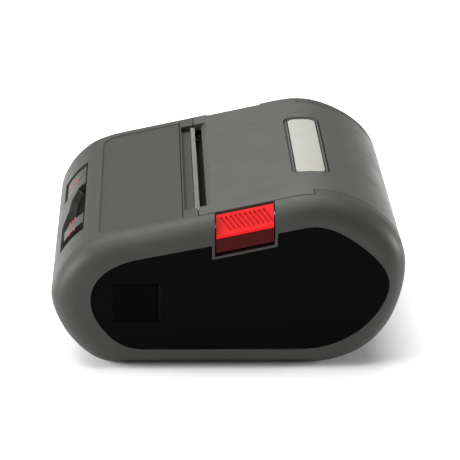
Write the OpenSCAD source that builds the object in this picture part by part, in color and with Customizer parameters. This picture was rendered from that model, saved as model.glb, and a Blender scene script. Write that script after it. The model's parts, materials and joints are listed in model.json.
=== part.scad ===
// Mobile receipt printer for 80 mm paper, with a hinged roll cover, two side
// latches, three front keys, a rubber port cover and a geared platen.
// X runs from the nose (-) to the paper roll end (+), Y across, Z up, in mm.

/* [Body] */
// Overall width across the two side panels
body_w = 110; // [108:1:114]
// Radius of the rolled edge between the side panels and the top
rim_r = 8; // [7:0.5:8.5]
// Thickness of the housing walls
wall = 3; // [2.8:0.1:3.2]

/* [Roll cover] */
// Thickness of the roll cover
lid_t = 2.6; // [2.4:0.1:2.7]
// Gap between the roll cover and the housing
lid_gap = 0.25; // [0.2:0.05:0.4]
// Width of the paper outlet
slot_w = 79.6; // [76:0.2:79.8]
// Length of the roll window across the cover
window_w = 52; // [40:1:56]
// Radius of the hinge pin
pin_r = 1.2; // [1:0.1:1.4]

/* [Paper feed] */
// Radius of the rubber platen
platen_r = 5.8; // [5.4:0.1:5.8]
// Radius of the largest paper roll that the tray takes
roll_r = 25; // [20:0.5:25]
// Gear module
gear_m = 0.7; // [0.7]

/* [Latches and keys] */
// Width of a side latch
latch_w = 19.2; // [16:0.2:19.2]
// Width of a front key
key_w = 8; // [6.4:0.2:8]
// Number of grip ribs on a latch
latch_ribs = 10; // [5:1:12]

/* [Hidden] */
hw = body_w / 2;          // half width
yr = hw - rim_r;          // where the rolled edge starts
lhw = 47;                 // half width of the cover's wings
rhw = 43;                 // half width of the cover's rear part
hx = 55; hz = 26.5;       // hinge axis
wing_r = 44;              // the wings end on this radius about the hinge
px = -3.2; pz = 44;       // platen axis
lvy = 49.3; lvz = -3.9;   // latch pivot, in the sloping frame
KY = [20.4, -15.9, -24.4]; // middles of the three keys
slope = 12.8 / 57.5;      // rise of the top towards the roll end
function ztop(x) = 47.9 + (x + 36) * slope;

// ---- side profile: a smooth curve through hand-set points, anticlockwise ----
CT = [[-37,0],[30,0],[33.5,0.3],[37,1.1],[43,3.4],[48.5,7],[53,11.9],[56.6,18],
  [59.1,26],[60,34],[59.4,40.5],[57,46.3],[53,51.4],[47.5,55.7],[41,59],[34,61.1],
  [27.5,61.5],[21.5,60.7],[18,59.92],[-32.5,48.68],[-36,47.9],[-42,46.3],[-48,43.7],
  [-53.2,39.4],[-57.2,33.8],[-59.4,28.6],[-60,25],[-59,19.5],[-56.2,13],[-52,7.4],
  [-47.2,3],[-43.2,0.9],[-40,0.15]];
PT = [[-27,7.5],[22,7.5],[29,7.8],[36.5,9.8],[43.5,13.8],[49,19.2],[52.6,25.4],
  [54,31.2],[52.6,36.4],[49.5,40.7],[45.6,44.4],[40.8,48],[35,51.3],[28.5,52.8],
  [22.5,51.9],[18,50.9],[-23,42.5],[-28,41.5],[-34.5,39.9],[-40.4,37],[-44.8,32.4],
  [-46.5,26.4],[-45.4,20.2],[-42,14.6],[-37.8,10.4],[-32.5,8]];
function cr(a, b, c, d, t) = let (l = norm(c - b), m = l * unit(c - a), n = l * unit(d - b))
  (2*t*t*t - 3*t*t + 1) * b + (t*t*t - 2*t*t + t) * m + (3*t*t - 2*t*t*t) * c + (t*t*t - t*t) * n;
function at(v, i) = v[(i + len(v)) % len(v)];
function spline(v, n, flat) = [for (i = [0 : len(v) - 1])
  let (m = len([for (q = flat) if (q == i) 1]) ? 1 : n)
  for (k = [0 : m - 1]) cr(at(v, i-1), at(v, i), at(v, i+1), at(v, i+2), k / m)];
PR = spline(CT, 3, [0, 18]);
PN = spline(PT, 3, [0, 15]);
function unit(v) = v / norm(v);
function inset(v, d) = [for (i = [0 : len(v) - 1])
  let (t = unit(at(v, i+1) - at(v, i-1))) at(v, i) + d * [-t[1], t[0]]];

// a slice of a side profile between two widths
module slab(y0, y1) translate([0, y1, 0]) rotate([90, 0, 0]) linear_extrude(y1 - y0) children();
module prof(d) polygon(inset(PR, d));
module panel2(d) polygon(inset(PN, d));
module ring(d0, d1, y0, y1) difference() { slab(y0, y1) prof(d0); slab(y0 - 1, y1 + 1) prof(d1); }
module box(x0, x1, y0, y1, z0, z1) translate([x0, y0, z0]) cube([x1 - x0, y1 - y0, z1 - z0]);
module ycyl(r, x, z, y0, y1, fn = 48) translate([x, y1, z]) rotate([90, 0, 0]) cylinder(h = y1 - y0, r = r, $fn = fn);
module rbox(x0, x1, hy, z0, z1, r) translate([0, 0, z0]) linear_extrude(z1 - z0) union() {
  translate([x0 + r, -hy]) square([x1 - x0 - 2*r, 2*hy]);
  translate([x0, -hy + r]) square([x1 - x0, 2*hy - 2*r]);
  for (x = [x0 + r, x1 - r]) for (y = [-hy + r, hy - r]) translate([x, y]) circle(r = r, $fn = 32);
}
// the frame of the key bay: local X is down along the nose, local Z is out of it
module bay() translate([-53.9, 0, 38.5]) rotate([0, -49.8, 0]) rotate([0, 0, 180]) children();
// the sloping top's frame at x = 5
module sloped() translate([5, 0, ztop(5)]) rotate([0, -atan(slope), 0]) children();

// the rolled body: loops of the profile, drawn in towards each side
module body_solid() {
  A = [[0, -1], [30, -1], [60, -1], [90, -1], [90, 1], [60, 1], [30, 1], [0, 1]];
  m = len(PR);
  pts = [for (q = A) for (p = inset(PR, rim_r * (1 - sin(q[0])))) [p[0], q[1] * (hw - rim_r * (1 - cos(q[0]))), p[1]]];
  polyhedron(pts, concat([[for (k = [m - 1 : -1 : 0]) k]],
    [for (i = [0 : len(A) - 2]) for (k = [0 : m - 1]) let (a = i*m + k, b = i*m + (k + 1) % m) for (f = [[a, b, a + m], [a + m, b, b + m]]) f],
    [[for (k = [0 : m - 1]) (len(A) - 1)*m + k]]));
}

module latch_pocket(s) intersection() {
  sloped() translate([-40, s > 0 ? 43.4 : -56, -12.7]) cube([80, 12.6, 20]);
  box(5 - latch_w/2 - 0.4, 5 + latch_w/2 + 0.4, -60, 60, 30, 70);
}
module panel_cut(s, g) intersection() {
  sloped() translate([-40, -60, -13.4 - g]) cube([80, 120, 30]);
  box(5 - latch_w/2 - 1.3 - g, 5 + latch_w/2 + 1.3 + g, -60, 60, 30, 70);
}
module hinge_web(y0, y1) union() {
  ycyl(4, hx, hz, y0, y1);
  intersection() { box(51.2, 56.2, y0, y1, 10, hz); slab(y0 - 1, y1 + 1) prof(0.4); }
}
module lid_region(g) union() {
  box(-10.1 - g, 70, -rhw - g, rhw + g, hz, 80);
  difference() { box(-10.1 - g, 50, -lhw - g, lhw + g, 40, 80); ycyl(wing_r - g, hx, hz, -60, 60, 160); }
}
module deck_plan(g) union() { rbox(-44 + g, -20, 45.5 - g, 40, 60, 5 - g); box(-24, -15.3 - g, -45.5 + g, 45.5 - g, 40, 60); }

module housing() color([0.30, 0.30, 0.29]) difference() {
  union() {
    difference() {
      body_solid();
      slab(-46, 46) prof(wall);
      slab(-hw + 3.4, hw - 3.4) panel2(2);
      // opening for the roll cover
      difference() { lid_region(lid_gap); for (s = [-1, 1]) slab(s > 0 ? 46 : -60, s > 0 ? 60 : -46) prof(lid_t + 0.35); }
      ycyl(6.2, hx, hz, -rhw - lid_gap, rhw + lid_gap);
      // seat of the deck panel, and the trough in front of the outlet
      difference() { deck_plan(0); slab(-60, 60) prof(1.6); }
      difference() { box(-14.8, -9, -slot_w/2 - 0.1, slot_w/2 + 0.1, 40, 60); slab(-60, 60) prof(2); }
      box(-11.4, -9, -slot_w/2 - 0.1, slot_w/2 + 0.1, 40, 60);
      // key bay
      bay() translate([-6.3, -29.6, -10]) cube([12.7, 62.6, 20]);
      // side panels, latches, port
      for (s = [-1, 1]) {
        difference() { slab(s > 0 ? hw - 1.7 : -hw - 1, s > 0 ? hw + 1 : -hw + 1.7) panel2(0); panel_cut(s, -0.01); }
        latch_pocket(s);
      }
      box(-39, -28, -hw - 1, -hw + 8, 19, 31);
      // underside
      box(-37, 30, -46.2, 46.2, -1, 1.6);
      box(-32, 25, -36, 36, -1, 5);
    }
    // tongue at the bottom of the key bay
    intersection() {
      ring(0, wall, -12, 15);
      bay() translate([0, 0, -8]) linear_extrude(16) polygon([[7, 13.5], [7, -11.5], [-1.4, -11.5], [-2.2, -10], [-1.9, -8], [1, -4], [2.2, 3], [5.5, 9]]);
    }
    hinge_web(-46.5, -36.4); hinge_web(-8, 8); hinge_web(36.4, 46.5);
    // screw bosses
    for (x = [-34.5, 27.5]) for (y = [-43.8, 43.8]) translate([x, y, 1.6]) cylinder(h = 7, r = 2.4, $fn = 32);
    for (y = [-41, 41]) translate([-47, y, 6]) cylinder(h = 15.5, r = 2.2, $fn = 32);
  }
  ycyl(pin_r + 0.02, hx, hz, -44, 44);
  for (s = [-1, 1]) sloped() translate([-12.6, s * lvy, lvz]) rotate([0, 90, 0]) cylinder(h = 25.2, r = 0.82, $fn = 32);
  for (x = [-34.5, 27.5]) for (y = [-43.8, 43.8]) translate([x, y, 0]) cylinder(h = 8, r = 1.22, $fn = 24);
}

module base_plate() color([0.16, 0.16, 0.16]) difference() {
  box(-36.8, 29.8, -46, 46, 0, 1.5);
  box(-30.2, 4.2, -30.2, 30.2, -1, 3);
  for (x = [-34.5, 27.5]) for (y = [-43.8, 43.8]) translate([x, y, -1]) { cylinder(h = 4, r = 1.35, $fn = 24); cylinder(h = 1.9, r = 2.3, $fn = 24); }
  for (i = [0 : 5]) box(9 + i * 3, 10.4 + i * 3, -14, 14, -1, 0.5);
}
module battery_door() color([0.18, 0.18, 0.18]) difference() {
  box(-30, 4, -30, 30, 0.15, 1.6);
  for (i = [0 : 3]) box(-27 + i * 2, -26 + i * 2, -9, 9, -1, 0.6);
  translate([-1, 0, -1]) cylinder(h = 4, r = 1.3, $fn = 24);
}
module battery_pack() color([0.25, 0.35, 0.55]) union() {
  box(-31, 3.4, -34, 34, 1.7, 13.5);
  box(-31.8, -31, -30, 30, 4, 12);
}
module base_screws() color([0.6, 0.6, 0.62]) for (x = [-34.5, 27.5]) for (y = [-43.8, 43.8]) translate([x, y, 0.05]) difference() {
  union() { cylinder(h = 0.8, r = 2.15, $fn = 24); cylinder(h = 6.5, r = 1.2, $fn = 24); }
  translate([-1.4, -0.25, -1]) cube([2.8, 0.5, 1.4]);
  translate([-0.25, -1.4, -1]) cube([0.5, 2.8, 1.4]);
}

module side_panel(s) color([0.04, 0.04, 0.045]) difference() {
  slab(s > 0 ? hw - 1.6 : -hw + 0.35, s > 0 ? hw - 0.35 : -hw + 1.6) panel2(0.15);
  panel_cut(s, 0.1);
  if (s < 0) box(-39.4, -23.1, -60, 0, 17.8, 31.8);
}
module side_panel_near() side_panel(-1);
module side_panel_far() side_panel(1);

module deck_panel() color([0.27, 0.27, 0.27]) difference() {
  intersection() { deck_plan(0.12); ring(0.45, 1.55, -46, 46); }
  box(-15.6, 0, -60, 60, 40, 60);
}
module tear_bar() color([0.55, 0.55, 0.52]) translate([-11.3, 0, 0]) rotate([90, 0, 90]) linear_extrude(1.5)
  polygon(concat([[39.4, 46.4], [39.4, 52.4]], [for (i = [0 : 47]) for (k = [0, 1]) [39.2 - i * 1.6333 - k * 0.8167, k ? 53.0 : 52.2]], [[-39.4, 52.4], [-39.4, 46.4]]));

module mech_frame() color([0.62, 0.64, 0.66]) difference() {
  union() {
    box(-20.4, -19, -42.7, 42.7, 35, 48);
    box(-19.2, 1.4, 41.5, 42.7, 16, 44.4);
    box(-19.2, 1.4, -42.7, -41.5, 30, 44.4);
    ycyl(1.5, px, pz - 13.65, 42.2, 46, 32);
  }
  for (s = [-1, 1]) ycyl(3.35, px, pz, s > 0 ? 41 : -43, s > 0 ? 43 : -41, 40);
  ycyl(3, -13.668, 25.469, 41, 43.5, 32);
}
module thermal_head() color([0.86, 0.84, 0.78]) union() {
  box(-10.5, -9.3, -40.6, 40.6, 37.6, 46);
  box(-9.4, -9.12, -40, 40, 43.2, 44.8);
}
module head_heatsink() color([0.7, 0.71, 0.72]) union() {
  box(-12.6, -10.55, -41, 41, 35.4, 46.35);
  for (y = [-20, 20]) translate([-13.4, y, 42]) rotate([0, 90, 0]) cylinder(h = 1.2, r = 1.4, $fn = 24);
}
// a round wire along a list of points, closed at both ends
module wire(p, r, n = 8) {
  m = len(p);
  tg = [for (i = [0 : m - 1]) unit(p[min(i + 1, m - 1)] - p[max(i - 1, 0)])];
  pts = [for (i = [0 : m - 1]) let (a = unit(cross(tg[i], [0.13, 0.07, 0.99])), b = cross(tg[i], a))
    for (k = [0 : n - 1]) p[i] + r * (cos(k * 360 / n) * a + sin(k * 360 / n) * b)];
  polyhedron(pts, concat([[for (k = [0 : n - 1]) k]],
    [for (i = [0 : m - 2]) for (k = [0 : n - 1]) let (a = i*n + k, b = i*n + (k + 1) % n) for (f = [[a, a + n, b], [b, a + n, b + n]]) f],
    [[for (k = [n - 1 : -1 : 0]) (m - 1)*n + k]]));
}
module head_springs() color([0.75, 0.75, 0.76]) for (y = [-20, 20])
  wire([for (i = [0 : 40]) [-13.1 - i * 0.135, y + 2.1 * cos(i * 45), 42 + 2.1 * sin(i * 45)]], 0.35, 8);
module feed_motor() color([0.45, 0.46, 0.48]) difference() {
  union() {
    ycyl(9, -13.668, 25.469, 27, 40.2, 64);
    ycyl(2.8, -13.668, 25.469, 27, 41.4, 32);
    difference() { box(-24.6, -2.7, 40.3, 41.3, 22, 29); box(-30, 0, 39, 42, 34, 40); }
  }
  ycyl(1.08, -13.668, 25.469, 33, 45, 24);
}
module roll_tray() color([0.13, 0.13, 0.13]) difference() {
  union() {
    difference() { ycyl(27.4, 25.5, 31.5, -41.3, 41.3, 120); ycyl(roll_r + 1, 25.5, 31.5, -40.4, 40.4, 120); }
  }
  // the tray is open at the top and towards the hinge
  box(-10, 60, -50, 50, 34, 80);
  rotate_about(25.5, 31.5, -42) box(25.5, 70, -50, 50, 31.5, 90);
  box(45, 70, -50, 50, 14, 90);
}
module rotate_about(x, z, a) translate([x, 0, z]) rotate([0, -a, 0]) translate([-x, 0, -z]) children();
module paper_sensor() color([0.1, 0.1, 0.1]) difference() {
  box(-6.4, -3.4, -6, 6, 33.8, 37.4);
  box(-5.6, -4.2, -3.5, -1, 36.8, 38);
  box(-5.6, -4.2, 1, 3.5, 36.8, 38);
}
module hinge_pin() color([0.75, 0.75, 0.77]) ycyl(pin_r, hx, hz, -43.6, 43.6, 32);
module cover_spring() color([0.7, 0.7, 0.72]) wire(concat([[53.4, 9.2, 20], [52.9, 9.2, 23.4]],
  [for (i = [0 : 40]) [hx - 2.4 * cos(i * 45), 9.3 + i * 0.17, hz + 2.4 * sin(i * 45)]]), 0.35, 8);
module latch_pins() color([0.75, 0.75, 0.77]) for (s = [-1, 1]) sloped() translate([-12.3, s * lvy, lvz]) rotate([0, 90, 0]) cylinder(h = 24.6, r = 0.8, $fn = 32);

module main_board() color([0.05, 0.30, 0.14]) difference() {
  box(-50, -25, -45, 45, 21.6, 23.1);
  for (y = [-41, 41]) translate([-47, y, 20]) cylinder(h = 5, r = 1.3, $fn = 24);
  box(-28, -24, 20, 46, 20, 25);
}
module board_chips() color([0.08, 0.08, 0.09]) union() {
  box(-44, -34, -6, 4, 23.2, 24.6);
  box(-33, -28, -18, -12, 23.2, 24.4);
  box(-46, -40, 14, 24, 23.2, 27);
  for (y = [-30, -24, 30, 36]) translate([-45, y, 23.2]) cylinder(h = 5, r = 2.4, $fn = 32);
}
module usb_socket() color([0.75, 0.76, 0.78]) difference() {
  box(-38, -29, -hw + 3.6, -44, 23.2, 26.4);
  box(-37.5, -29.5, -hw + 3, -46, 23.6, 26.0);
}
module head_ribbon() color([0.85, 0.83, 0.75]) slab(-16, 16) polygon([[-12.8, 40], [-12.8, 38], [-15.5, 31], [-22, 27], [-26, 26.6], [-26, 23.2],
  [-25.6, 23.2], [-25.6, 26.2], [-22, 26.6], [-15.2, 30.7], [-12.62, 37.6], [-12.62, 40]]);

module key_bezel() color([0.03, 0.03, 0.03]) difference() {
  intersection() { ring(wall + 0.08, wall + 1.4, -31.6, 35); bay() translate([-8, -31.6, -14]) cube([16, 66.6, 20]); }
  for (y = KY) bay() translate([-5.35, y - key_w/2 - 0.25, -20]) cube([10.8, key_w + 0.5, 40]);
}
module key_board() color([0.05, 0.30, 0.14]) bay() union() {
  translate([-6, -29, -10.4]) cube([12, 58, 1.2]);
  for (y = KY) translate([-2.5, y - 2.5, -9.2]) cube([5, 5, 1.8]);
}
module key(y) color([0.46, 0.46, 0.44]) union() {
  intersection() {
    slab(-40, 40) prof(0.5);
    bay() translate([-5.1, y - key_w/2, -6]) cube([10.3, key_w, 12]);
  }
  bay() translate([-5.8, y - key_w/2 - 0.1, -6]) cube([11.7, key_w + 0.2, 0.7]);
  bay() translate([-1.4, y - 1.4, -6.5]) cube([2.8, 2.8, 1]);
}
module key_power() key(KY[0]);
module key_feed() key(KY[1]);
module key_mode() key(KY[2]);

module lid_cover() color([0.29, 0.29, 0.28]) difference() {
  union() {
    difference() {
      intersection() { lid_region(0); ring(0, lid_t, -lhw, lhw); }
      box(-20, -7.3, -slot_w/2, slot_w/2, 40, 80);
      translate([-7.3, 0, ztop(-7.3) - 1.3]) rotate([0, 45, 0]) translate([-6, -slot_w/2, 0]) cube([6, slot_w, 6]);
      ycyl(4.45, hx, hz, -60, 60);
      difference() { rbox(22.3, 35.3, window_w/2 + 1.2, 40, 80, 3); slab(-60, 60) prof(0.6); }
      rbox(23.6, 34, window_w/2, 40, 80, 2.4);
    }
    for (s = [-1, 1]) {
      intersection() { ring(0, lid_t, s > 0 ? 18.4 : -36, s > 0 ? 36 : -18.4); box(50, 70, -50, 50, hz, 34); }
      ycyl(4, hx, hz, s > 0 ? 18.4 : -36, s > 0 ? 36 : -18.4);
    }
  }
  ycyl(pin_r + 0.06, hx, hz, -60, 60);
}
module lid_liner() color([0.14, 0.14, 0.14]) difference() {
  union() {
    intersection() { slab(-41.2, 41.2) prof(lid_t + 0.05); box(-5.6, 4.5, -41.2, 41.2, 50.8, 70); }
    for (s = [-1, 1]) {
      intersection() { slab(-41.2, 41.2) prof(lid_t + 0.05); box(-7.4, 4.5, s > 0 ? 40 : -41.2, s > 0 ? 41.2 : -40, 40.2, 70); }
      intersection() { slab(-46, 46) prof(lid_t + 0.05); box(3.6, 13, s > 0 ? 40 : -44.6, s > 0 ? 44.6 : -40, 53.2, 70); }
      // catch foot that the latch nose holds down
      sloped() translate([2.2, s > 0 ? 43.4 : -44.6, -9.6]) cube([5.6, 1.2, 6.4]);
      sloped() translate([2.2, s > 0 ? 44.5 : -45.5, -9.6]) cube([5.6, 1, 1.4]);
    }
    // paper guide that runs down behind the window
    for (y = [-38, -30, 30, 38]) intersection() { ring(lid_t + 0.05, lid_t + 2.6, y - 0.6, y + 0.6); box(4.4, 48, -50, 50, 40, 80); }
  }
  ycyl(3.12, px, pz, -50, 50, 40);
}
module window_lens() color([0.74, 0.74, 0.71]) union() {
  intersection() { rbox(23.85, 33.75, window_w/2 - 0.25, 40, 80, 2.2); ring(0.3, lid_t + 0.1, -50, 50); }
  intersection() { rbox(21.8, 35.8, window_w/2 + 2, 40, 80, 3); ring(lid_t + 0.06, lid_t + 1.1, -50, 50); box(10, 45, -29.3, 29.3, 40, 80); }
}
module platen_bushes() color([0.85, 0.83, 0.75]) for (s = [-1, 1]) difference() {
  ycyl(3.1, px, pz, s > 0 ? 40 : -42.6, s > 0 ? 42.6 : -40, 40);
  ycyl(1.56, px, pz, s > 0 ? 39 : -44, s > 0 ? 44 : -39, 32);
}
module platen_roller() color([0.12, 0.12, 0.12]) difference() { ycyl(platen_r, px, pz, -39.8, 39.8, 72); ycyl(1.51, px, pz, -41, 41, 32); }
module platen_shaft() color([0.78, 0.78, 0.8]) ycyl(1.5, px, pz, -42.8, 45.9, 32);

// involute spur gear, tooth centre at angle ph, 25 degree pressure angle
pa = 25;
function inv(a) = tan(a) * 180 / PI - a;
function flank(n, r) = let (rp = gear_m * n / 2, rb = rp * cos(pa), a = r > rb ? acos(rb / r) : 0)
  90 / n + inv(pa) - inv(a) - 0.05 / rp * 180 / PI;
module gear2(n, ph) let (rp = gear_m * n / 2, rb = rp * cos(pa), ro = rp + 0.8 * gear_m, ri = rp - 1.1 * gear_m, r0 = max(rb, ri) + 0.001,
    rr = [for (k = [0 : 4]) r0 + (ro - r0) * k / 4])
  polygon([for (i = [0 : n - 1]) let (c = ph + i * 360 / n) for (q = concat(
    [[ri, -flank(n, r0) - 0.4]], [for (k = [0 : 4]) [rr[k], -flank(n, rr[k])]],
    [for (k = [4 : -1 : 0]) [rr[k], flank(n, rr[k])]], [[ri, flank(n, r0) + 0.4]])) q[0] * [cos(c + q[1]), sin(c + q[1])]]);
module platen_gear() color([0.9, 0.88, 0.8]) difference() {
  translate([px, 45.6, pz]) rotate([90, 0, 0]) linear_extrude(2.5) gear2(18, -80);
  ycyl(1.51, px, pz, 40, 50, 32);
}
module idler_gear() color([0.9, 0.88, 0.8]) difference() {
  translate([px, 45.5, pz - 13.65]) rotate([90, 0, 0]) linear_extrude(2.4) gear2(21, 90);
  ycyl(1.56, px, pz - 13.65, 40, 50, 32);
}
module motor_pinion() color([0.8, 0.68, 0.4]) union() {
  translate([-13.668, 45.5, 25.469]) rotate([90, 0, 0]) linear_extrude(2.4) gear2(12, 31.25);
  ycyl(1, -13.668, 25.469, 35, 45.6, 24);
}

// latch: a ribbed shell that swings out about its pin, with a catch nose below
module prism(x0, x1, s, v) sloped() translate([x0, 0, 0]) rotate([90, 0, 90]) linear_extrude(x1 - x0) polygon([for (p = v) [s * p[0], p[1]]]);
module latch(s) color([0.82, 0.08, 0.10]) difference() {
  union() {
    intersection() {
      prism(-40, 40, s, [[47.8, -1.1], [47.95, -0.75], [48.3, -0.7], [54.2, -5.9], [54.6, -6.5], [54.7, -7.1], [54.7, -11.4],
        [53, -11.4], [52.9, -8.2], [50.6, -5.5], [49, -4.4], [47.8, -3.6]]);
      box(5 - latch_w/2, 5 + latch_w/2, -60, 60, 30, 70);
    }
    intersection() {
      sloped() translate([-40, s * lvy, lvz]) rotate([0, 90, 0]) cylinder(h = 80, r = 1.5, $fn = 32);
      box(5 - latch_w/2, 5 + latch_w/2, -60, 60, 30, 70);
    }
    prism(2, 8, s, [[47.9, -3.9], [47.4, -6.2], [46, -6.2], [46, -7.8], [48.7, -7.8], [50, -4.8]]);
  }
  sloped() translate([-20, s * lvy, lvz]) rotate([0, 90, 0]) cylinder(h = 40, r = 0.86, $fn = 32);
  // grip ribs stand between slanting grooves
  for (i = [0 : latch_ribs - 1]) sloped() translate([-7.2 + i * 1.62, s * 51.15, -3.21]) rotate([s * -41.4, 0, 0]) rotate([0, 0, s * -26])
    translate([-0.33, -2.9, -0.45]) cube([0.66, 5.9, 4]);
}
module latch_near() latch(-1);
module latch_far() latch(1);

module port_cover() color([0.05, 0.05, 0.055]) difference() {
  union() {
    box(-39.2, -23.4, -hw + 0.2, -hw + 1.5, 18, 31.6);
    box(-38.6, -28.4, -hw + 1.4, -hw + 3.2, 19.4, 30.6);
  }
  box(-24.5, -24.1, -hw - 1, -hw + 0.7, 17, 33);
  box(-37.6, -29.4, -hw + 2, -hw + 4, 20.4, 29.6);
}

housing();
base_plate();
battery_door();
battery_pack();
base_screws();
side_panel_near();
side_panel_far();
deck_panel();
tear_bar();
mech_frame();
thermal_head();
head_heatsink();
head_springs();
feed_motor();
roll_tray();
paper_sensor();
hinge_pin();
cover_spring();
latch_pins();
main_board();
board_chips();
usb_socket();
head_ribbon();
key_bezel();
key_board();
lid_cover();
lid_liner();
window_lens();
platen_bushes();
platen_roller();
platen_shaft();
platen_gear();
idler_gear();
motor_pinion();
latch_near();
latch_far();
key_power();
key_feed();
key_mode();
port_cover();
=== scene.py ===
import json
import math
import bpy
import bmesh
from mathutils import Matrix, Vector


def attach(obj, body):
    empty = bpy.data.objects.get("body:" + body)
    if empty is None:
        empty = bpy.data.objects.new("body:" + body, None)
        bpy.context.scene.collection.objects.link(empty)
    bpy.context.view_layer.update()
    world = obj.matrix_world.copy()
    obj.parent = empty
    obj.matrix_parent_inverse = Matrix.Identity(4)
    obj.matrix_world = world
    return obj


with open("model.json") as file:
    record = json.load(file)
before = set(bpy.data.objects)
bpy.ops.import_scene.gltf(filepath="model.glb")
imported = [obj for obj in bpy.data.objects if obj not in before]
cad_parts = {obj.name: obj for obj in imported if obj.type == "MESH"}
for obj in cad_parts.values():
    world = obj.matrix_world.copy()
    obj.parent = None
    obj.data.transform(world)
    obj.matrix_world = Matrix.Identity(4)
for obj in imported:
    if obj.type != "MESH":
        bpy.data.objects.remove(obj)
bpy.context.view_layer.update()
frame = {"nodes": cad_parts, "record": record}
MM = 0.001

# ---------------------------------------------------------------- profile
CT = [(-37,0),(30,0),(33.5,0.3),(37,1.1),(43,3.4),(48.5,7),(53,11.9),(56.6,18),(59.1,26),(60,34),
      (59.4,40.5),(57,46.3),(53,51.4),(47.5,55.7),(41,59),(34,61.1),(27.5,61.5),(21.5,60.7),(18,59.92),
      (-32.5,48.68),(-36,47.9),(-42,46.3),(-48,43.7),(-53.2,39.4),(-57.2,33.8),(-59.4,28.6),(-60,25),
      (-59,19.5),(-56.2,13),(-52,7.4),(-47.2,3),(-43.2,0.9),(-40,0.15)]


def spline(v, n, flat):
    out = []
    k = len(v)
    for i in range(k):
        a, b, c, d = (Vector(v[(i + j) % k]) for j in (-1, 0, 1, 2))
        L = (c - b).length
        m, q = (c - a).normalized() * L, (d - b).normalized() * L
        steps = 1 if i in flat else n
        for s in range(steps):
            t = s / steps
            out.append((2*t**3-3*t*t+1)*b + (t**3-2*t*t+t)*m + (3*t*t-2*t**3)*c + (t**3-t*t)*q)
    return out


PR = spline(CT, 8, (0, 18))
NP = len(PR)
TN = [(PR[(i+1) % NP] - PR[i-1]).normalized() for i in range(NP)]


def near(x, z):
    """(distance inside the profile, outward normal) at a point, in mm."""
    best = (1e9, None)
    p = Vector((x, z))
    for i in range(NP):
        a, b = PR[i], PR[(i+1) % NP]
        e = b - a
        t = max(0.0, min(1.0, (p - a).dot(e) / e.length_squared))
        d = (p - (a + t*e)).length
        if d < best[0]:
            tn = (TN[i]*(1-t) + TN[(i+1) % NP]*t).normalized()
            best = (d, Vector((tn.y, -tn.x)))
    return best


def skin(x, y, z):
    """The smooth outer skin's normal at a point that lies on it or up to 1 mm below it."""
    d, n = near(x, z)
    ay = abs(y)
    if ay <= 47.0:
        th = math.pi/2
    else:
        th = math.acos(max(-1.0, min(1.0, 1 - (55-ay)/8)))
        th = max(th, 0.0)
    want = 8*(1-math.sin(th))
    nn = Vector((math.sin(th)*n.x, math.copysign(math.cos(th), y), math.sin(th)*n.y))
    return d - want, nn


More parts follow.
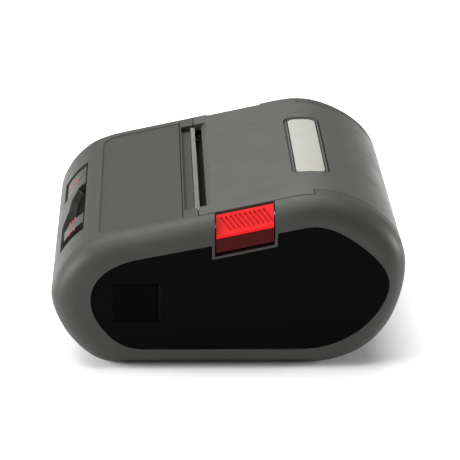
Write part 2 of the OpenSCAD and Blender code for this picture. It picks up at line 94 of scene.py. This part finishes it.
# ---------------------------------------------------------------- materials
def material(name, col, rough, bump=0.0, scale=900.0, metal=0.0, spread=0.03, edge=0.00025, coat=0.0, rvar=0.06, wear=0.0, spec=0.3):
    m = bpy.data.materials.new(name)
    m.use_nodes = True
    nt = m.node_tree
    b = nt.nodes["Principled BSDF"]
    b.inputs["Metallic"].default_value = metal
    b.inputs["Coat Weight"].default_value = coat
    b.inputs["Specular IOR Level"].default_value = 0.5 if metal else spec
    b.inputs["Coat Roughness"].default_value = 0.08
    tc = nt.nodes.new("ShaderNodeTexCoord")
    n1 = nt.nodes.new("ShaderNodeTexNoise")
    n1.inputs["Scale"].default_value = 45
    n1.inputs["Detail"].default_value = 6
    nt.links.new(tc.outputs["Object"], n1.inputs["Vector"])
    ramp = nt.nodes.new("ShaderNodeValToRGB")
    ramp.color_ramp.elements[0].position = 0.3
    ramp.color_ramp.elements[1].position = 0.7
    ramp.color_ramp.elements[0].color = [c*(1-spread) for c in col] + [1]
    ramp.color_ramp.elements[1].color = [min(1, c*(1+spread)) for c in col] + [1]
    nt.links.new(n1.outputs["Fac"], ramp.inputs["Fac"])
    last = ramp.outputs["Color"]
    if wear > 0:
        geo = nt.nodes.new("ShaderNodeNewGeometry")
        wr = nt.nodes.new("ShaderNodeValToRGB")
        wr.color_ramp.elements[0].position = 0.52
        wr.color_ramp.elements[1].position = 0.60
        wr.color_ramp.elements[0].color = (0, 0, 0, 1)
        wr.color_ramp.elements[1].color = (wear, wear, wear, 1)
        nt.links.new(geo.outputs["Pointiness"], wr.inputs["Fac"])
        mix = nt.nodes.new("ShaderNodeMix")
        mix.data_type = "RGBA"
        nt.links.new(wr.outputs["Color"], mix.inputs["Factor"])
        nt.links.new(last, mix.inputs[6])
        lite = nt.nodes.new("ShaderNodeValToRGB")
        lite.color_ramp.elements[0].color = [min(1, c*1.7+0.02) for c in col] + [1]
        lite.color_ramp.elements[1].color = [min(1, c*2.2+0.03) for c in col] + [1]
        nt.links.new(n1.outputs["Fac"], lite.inputs["Fac"])
        nt.links.new(lite.outputs["Color"], mix.inputs[7])
        last = mix.outputs[2]
    nt.links.new(last, b.inputs["Base Color"])
    n2 = nt.nodes.new("ShaderNodeTexNoise")
    n2.inputs["Scale"].default_value = 120
    n2.inputs["Detail"].default_value = 8
    nt.links.new(tc.outputs["Object"], n2.inputs["Vector"])
    mr = nt.nodes.new("ShaderNodeMapRange")
    mr.inputs["From Min"].default_value = 0.3
    mr.inputs["From Max"].default_value = 0.7
    mr.inputs["To Min"].default_value = max(0.03, rough-rvar)
    mr.inputs["To Max"].default_value = min(1, rough+rvar)
    nt.links.new(n2.outputs["Fac"], mr.inputs["Value"])
    nt.links.new(mr.outputs["Result"], b.inputs["Roughness"])
    bev = nt.nodes.new("ShaderNodeBevel")
    bev.samples = 4
    bev.inputs["Radius"].default_value = edge
    n3 = nt.nodes.new("ShaderNodeTexNoise")
    n3.inputs["Scale"].default_value = scale
    n3.inputs["Detail"].default_value = 3
    nt.links.new(tc.outputs["Object"], n3.inputs["Vector"])
    bp = nt.nodes.new("ShaderNodeBump")
    bp.inputs["Strength"].default_value = bump
    bp.inputs["Distance"].default_value = 0.00008
    nt.links.new(n3.outputs["Fac"], bp.inputs["Height"])
    nt.links.new(bev.outputs["Normal"], bp.inputs["Normal"])
    nt.links.new(bp.outputs["Normal"], b.inputs["Normal"])
    return m


MATS = {
    "housing_grey": material("housing_grey", (0.040, 0.0405, 0.037), 0.48, 0.35, 2600, wear=0.08, spec=0.20),
    "cover_grey": material("cover_grey", (0.052, 0.053, 0.048), 0.40, 0.16, 2600, wear=0.05, spec=0.28),
    "panel_black": material("panel_black", (0.0016, 0.0016, 0.0019), 0.24, 0.02, 700, rvar=0.03, spec=0.02),
    "deck_grey": material("deck_grey", (0.036, 0.0365, 0.0335), 0.52, 0.4, 3000, spec=0.18),
    "black_plastic": material("black_plastic", (0.0025, 0.0025, 0.003), 0.5, 0.2, 2200, spec=0.1),
    "dark_plastic": material("dark_plastic", (0.018, 0.018, 0.0185), 0.5, 0.3, 2200),
    "latch_red": material("latch_red", (0.60, 0.008, 0.009), 0.40, 0.08, 1600, wear=0.05, edge=0.00012, spec=0.12),
    "key_grey": material("key_grey", (0.036, 0.036, 0.033), 0.45, 0.1, 2200),
    # darker copy of the latch red: painted shade for the latch's side faces
    "latch_painted_shade": material("latch_painted_shade", (0.055, 0.004, 0.004), 0.42, 0.08, 1600, edge=0.00012, spec=0.06),
    "lens": material("lens", (0.32, 0.32, 0.285), 0.30, 0.03, 1800, spread=0.02, coat=0.05, spec=0.2),
    "steel": material("steel", (0.52, 0.52, 0.51), 0.34, 0.12, 1500, metal=1.0),
    "tear_steel": material("tear_steel", (0.16, 0.16, 0.15), 0.45, 0.2, 1800, metal=1.0, edge=0.0001),
    "bright_steel": material("bright_steel", (0.70, 0.70, 0.70), 0.18, 0.05, 1500, metal=1.0, edge=0.00008),
    "aluminium": material("aluminium", (0.62, 0.62, 0.63), 0.38, 0.15, 1500, metal=1.0),
    "ceramic": material("ceramic", (0.66, 0.62, 0.55), 0.22, 0.04, 900, spread=0.02),
    "rubber": material("rubber", (0.016, 0.016, 0.016), 0.7, 0.5, 2600, spec=0.15),
    "port_rubber": material("port_rubber", (0.0008, 0.0008, 0.001), 0.6, 0.15, 2600, spec=0.02),
    "gear_plastic": material("gear_plastic", (0.62, 0.60, 0.50), 0.42, 0.08, 1600, edge=0.00008),
    "brass": material("brass", (0.72, 0.50, 0.20), 0.25, 0.08, 1200, metal=1.0, edge=0.00008),
    "board": material("board", (0.008, 0.075, 0.028), 0.32, 0.12, 1500),
    "chip": material("chip", (0.014, 0.014, 0.015), 0.5, 0.2, 2000),
    "battery": material("battery", (0.03, 0.06, 0.20), 0.3, 0.1, 900),
    "ribbon": material("ribbon", (0.62, 0.50, 0.28), 0.4, 0.1, 1500),
    "mark_red": material("mark_red", (0.26, 0.018, 0.018), 0.5, 0.2, 2200, edge=0.00003),
    # light grey of the beads; on the deck bead it is a painted highlight
    "trim_and_painted_highlight_grey": material("trim_and_painted_highlight_grey", (0.085, 0.085, 0.078), 0.42, 0.1, 2200),
    "line_black": material("line_black", (0.003, 0.003, 0.003), 0.6, 0.1, 2200, spec=0.1),
}

SKINNED = {"housing", "lid_cover", "deck_panel", "window_lens"}
slots = {s["node"]: s["material_slot"] for s in frame["record"]["subparts"]}
for name, o in frame["nodes"].items():
    me = o.data
    me.materials.clear()
    me.materials.append(MATS["tear_steel" if name == "tear_bar" else slots[name]])
    for p in me.polygons:
        p.use_smooth = True
        p.material_index = 0
    me.set_sharp_from_angle(angle=math.radians(28))
    # painted shade: the latch's outward side faces get the darker red copy of the latch colour
    if name.startswith("latch_") and name != "latch_pins":
        me.materials.append(MATS["latch_painted_shade"])
        side = -1 if name == "latch_near" else 1
        for p in me.polygons:
            if p.normal.y * side > 0.95 and abs(p.center.y) > 0.0543:
                p.material_index = 1
    if name not in SKINNED:
        continue
    # skin corners take the smooth surface's own normal, everything else keeps its facet's
    cache = {}
    normals = []
    sub = {"housing": 0.0, "lid_cover": 0.0, "deck_panel": 0.45, "window_lens": 0.3}[name]
    corner = [Vector(c.vector) for c in me.corner_normals]
    for p in me.polygons:
        for li in p.loop_indices:
            vi = me.loops[li].vertex_index
            if vi not in cache:
                c = me.vertices[vi].co / MM
                cache[vi] = skin(c.x, c.y, c.z)
            off, n = cache[vi]
            if abs(off - sub) < 0.3 and p.normal.dot(n) > 0.86:
                normals.append(n)
            else:
                normals.append(corner[li])
    me.normals_split_custom_set(normals)


# ---------------------------------------------------------------- added detail
def mesh(name, verts, faces, mat, body, smooth=True, angle=30):
    me = bpy.data.meshes.new(name)
    me.from_pydata([Vector(v)*MM for v in verts], [], faces)
    bm = bmesh.new()
    bm.from_mesh(me)
    bmesh.ops.remove_doubles(bm, verts=bm.verts, dist=1e-7)
    bmesh.ops.recalc_face_normals(bm, faces=bm.faces)
    bm.to_mesh(me)
    bm.free()
    me.materials.append(MATS[mat])
    for p in me.polygons:
        p.use_smooth = smooth
    me.set_sharp_from_angle(angle=math.radians(angle))
    o = bpy.data.objects.new(name, me)
    bpy.context.scene.collection.objects.link(o)
    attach(o, body)
    return o


def tube(path, r, n=8, closed=True):
    """A round bead along a path of points, as (verts, faces)."""
    V, F = [], []
    m = len(path)
    pts = [Vector(p) for p in path]
    for i in range(m):
        a = pts[(i-1) % m] if closed or i else pts[i]
        b = pts[(i+1) % m] if closed or i < m-1 else pts[i]
        t = (b - a).normalized()
        up = Vector((0, 0, 1)) if abs(t.z) < 0.9 else Vector((1, 0, 0))
        u = t.cross(up).normalized()
        w = t.cross(u)
        for k in range(n):
            q = 2*math.pi*k/n
            V.append(pts[i] + r*(math.cos(q)*u + math.sin(q)*w))
    for i in range(m if closed else m-1):
        j = (i+1) % m
        for k in range(n):
            F.append((i*n+k, j*n+k, j*n+(k+1) % n, i*n+(k+1) % n))
    if not closed:
        F.append(tuple(range(n)))
        F.append(tuple((m-1)*n+k for k in reversed(range(n))))
    return V, F


def surf_z(x):
    """Height of the top skin over x, in mm."""
    best = -1
    for i in range(NP):
        a, b = PR[i], PR[(i+1) % NP]
        if min(a.x, b.x) <= x <= max(a.x, b.x) and a.x != b.x:
            z = a.y + (b.y-a.y)*(x-a.x)/(b.x-a.x)
            best = max(best, z)
    return best


def rounded(x0, x1, hy, r, n=8, open_right=False):
    pts = []
    for cx, cy, s in ((x0+r, -hy+r, 180), (x0+r, hy-r, 90)):
        arc = [(cx + r*math.cos(math.radians(s - 0 + k*90/n)), cy + r*math.sin(math.radians(s + k*90/n))) for k in range(n+1)]
        pts.append(arc)
    near_c = [(x0+r - r*math.sin(math.radians(k*90/n)), -hy+r - r*math.cos(math.radians(k*90/n))) for k in range(n+1)]
    far_c = [(x0+r - r*math.cos(math.radians(k*90/n)), hy-r + r*math.sin(math.radians(k*90/n))) for k in range(n+1)]
    out = []
    steps = 14
    out += [(x1 + (x0+r-x1)*k/steps, -hy) for k in range(steps)]
    out += near_c
    out += [(x0, -hy+r + (2*hy-2*r)*k/10) for k in range(1, 10)]
    out += far_c
    out += [(x0+r + (x1-x0-r)*k/steps, hy) for k in range(1, steps+1)]
    return out


# painted highlight: a light grey bead round the recessed deck stands in for the highlight along the deck's edge
ring = [(x, y, surf_z(x) - 0.32) for x, y in rounded(-44.0, -15.4, 45.5, 5.0)]
V, F = tube(ring, 0.26, 8, closed=False)
mesh("deck_painted_highlight_bead", V, F, "trim_and_painted_highlight_grey", "base")

# window surround: a fine dark line with a light line inside it
def loop_rect(x0, x1, hy, r, n=8):
    c = [(x1-r, hy-r, 0), (x0+r, hy-r, 90), (x0+r, -hy+r, 180), (x1-r, -hy+r, 270)]
    out = []
    for cx, cy, s in c:
        for k in range(n+1):
            q = math.radians(s + 90*k/n)
            out.append((cx + r*math.cos(q), cy + r*math.sin(q)))
    return out


V, F = tube([(x, y, surf_z(x) - 0.24) for x, y in loop_rect(23.15, 34.45, 26.65, 2.6)], 0.20, 8)
mesh("window_bead", V, F, "trim_and_painted_highlight_grey", "lid")
V, F = tube([(x, y, surf_z(x) - 0.36) for x, y in loop_rect(22.35, 35.25, 27.15, 2.9)], 0.22, 8)
mesh("window_gap", V, F, "line_black", "lid")

# small red marks printed on the keys
BC = Vector((-53.9, 0, 38.5))
A = math.radians(49.8)
DX = Vector((-math.cos(A), 0, -math.sin(A)))      # down the nose
DZ = Vector((-math.sin(A), 0, math.cos(A)))       # out of the nose


def plate(x0, x1, y0, y1):
    """A thin printed patch on the key face, following its curve."""
    V, F = [], []
    n = 6
    rows = []
    for k in range(n+1):
        u = x0 + (x1-x0)*k/n
        p = BC + DX*u
        # slide along DZ until 0.5 mm under the skin
        lo, hi = -8.0, 8.0
        for _ in range(26):
            mid = (lo+hi)/2
            q = p + DZ*mid
            d, nn = near(q.x, q.z)
            inside = (Vector((q.x, q.z)) - Vector((0, 28))).length
            w = None
            best = 1e9
            for i in range(NP):
                dd = (PR[i] - Vector((q.x, q.z))).length
                if dd < best:
                    best = dd
                    w = i
            sgn = (Vector((q.x, q.z)) - PR[w]).dot(Vector((TN[w].y, -TN[w].x)))
            if sgn < -0.5:
                lo = mid
            else:
                hi = mid
        rows.append(p + DZ*lo)
    for r_ in rows:
        for y in (y0, y1):
            V.append(Vector((r_.x, y, r_.z)) + DZ*0.03)
    for r_ in rows:
        for y in (y0, y1):
            V.append(Vector((r_.x, y, r_.z)) - DZ*0.05)
    m = 2*(n+1)
    for k in range(n):
        a = 2*k
        F.append((a, a+1, a+3, a+2))
        F.append((m+a, m+a+2, m+a+3, m+a+1))
        F.append((a, a+2, m+a+2, m+a))
        F.append((a+1, m+a+1, m+a+3, a+3))
    F.append((0, m, m+1, 1))
    F.append((2*n, 2*n+1, m+2*n+1, m+2*n))
    return V, F


for nm, y, body in (("power", 20.4, "key_power_body"), ("feed", -15.9, "key_feed_body"), ("mode", -24.4, "key_mode_body")):
    for k, (a, b, w) in enumerate(((-1.6, -0.9, 1.5), (-0.2, 0.5, 1.0), (1.2, 1.9, 1.5), (2.6, 3.0, 0.8))):
        V, F = plate(a, b, y - w, y + w)
        mesh("mark_%s_%d" % (nm, k), V, F, "mark_red", body)

# ---------------------------------------------------------------- stage
def stage_mesh(name, verts, faces, mat):
    me = bpy.data.meshes.new(name)
    me.from_pydata(verts, [], faces)
    me.materials.append(mat)
    o = bpy.data.objects.new(name, me)
    bpy.context.scene.collection.objects.link(o)
    return o


fm = material("floor", (0.95, 0.95, 0.948), 0.8, 0.02, 300, spread=0.003, edge=0.0001, spec=0.1)
stage_mesh("floor", [(-3, -3, 0), (3, -3, 0), (3, 6, 0), (-3, 6, 0)], [(0, 1, 2, 3)], fm)

world = bpy.data.worlds.new("studio")
bpy.context.scene.world = world
world.use_nodes = True
wt = world.node_tree
bg = wt.nodes["Background"]
bg.inputs["Color"].default_value = (1, 1, 1, 1)
bg.inputs["Strength"].default_value = 0.22
seen = wt.nodes.new("ShaderNodeBackground")
seen.inputs["Color"].default_value = (1, 1, 1, 1)
seen.inputs["Strength"].default_value = 1.05
path = wt.nodes.new("ShaderNodeLightPath")
pick = wt.nodes.new("ShaderNodeMixShader")
wt.links.new(path.outputs["Is Camera Ray"], pick.inputs[0])
wt.links.new(bg.outputs[0], pick.inputs[1])
wt.links.new(seen.outputs[0], pick.inputs[2])
wt.links.new(pick.outputs[0], wt.nodes["World Output"].inputs["Surface"])


def area(name, loc, aim, size, power):
    ld = bpy.data.lights.new(name, "AREA")
    ld.shape = "RECTANGLE"
    ld.size, ld.size_y = size
    ld.energy = power
    o = bpy.data.objects.new(name, ld)
    bpy.context.scene.collection.objects.link(o)
    o.location = loc
    o.rotation_euler = (Vector(aim) - Vector(loc)).to_track_quat("-Z", "Y").to_euler()
    return o


area("top", (-0.15, 0.35, 1.10), (-0.02, 0.05, 0.0), (1.3, 1.6), 27.0)
area("left", (-0.90, -0.15, 0.35), (-0.03, 0, 0.03), (0.5, 0.4), 11.5)
area("right", (0.90, 0.10, 0.15), (0.03, 0, 0.03), (0.30, 0.25), 6.0)

cam = bpy.data.cameras.new("camera")
cam.sensor_width = 36
cam.lens = 156.52
cam.clip_start = 0.05
cam.clip_end = 20
co = bpy.data.objects.new("camera", cam)
bpy.context.scene.collection.objects.link(co)
right = Vector((0.99916, -0.03806, 0.01552)).normalized()
fwd = Vector((0.041095, 0.91717, -0.39638)).normalized()
right = (right - fwd*right.dot(fwd)).normalized()
up = right.cross(fwd)
R = Matrix((right, up, -fwd)).transposed().to_4x4()
co.matrix_world = Matrix.Translation(Vector((-27.3, -662.4, 314.3))*MM) @ R
bpy.context.scene.camera = co
bpy.context.scene.view_settings.view_transform = "Standard"
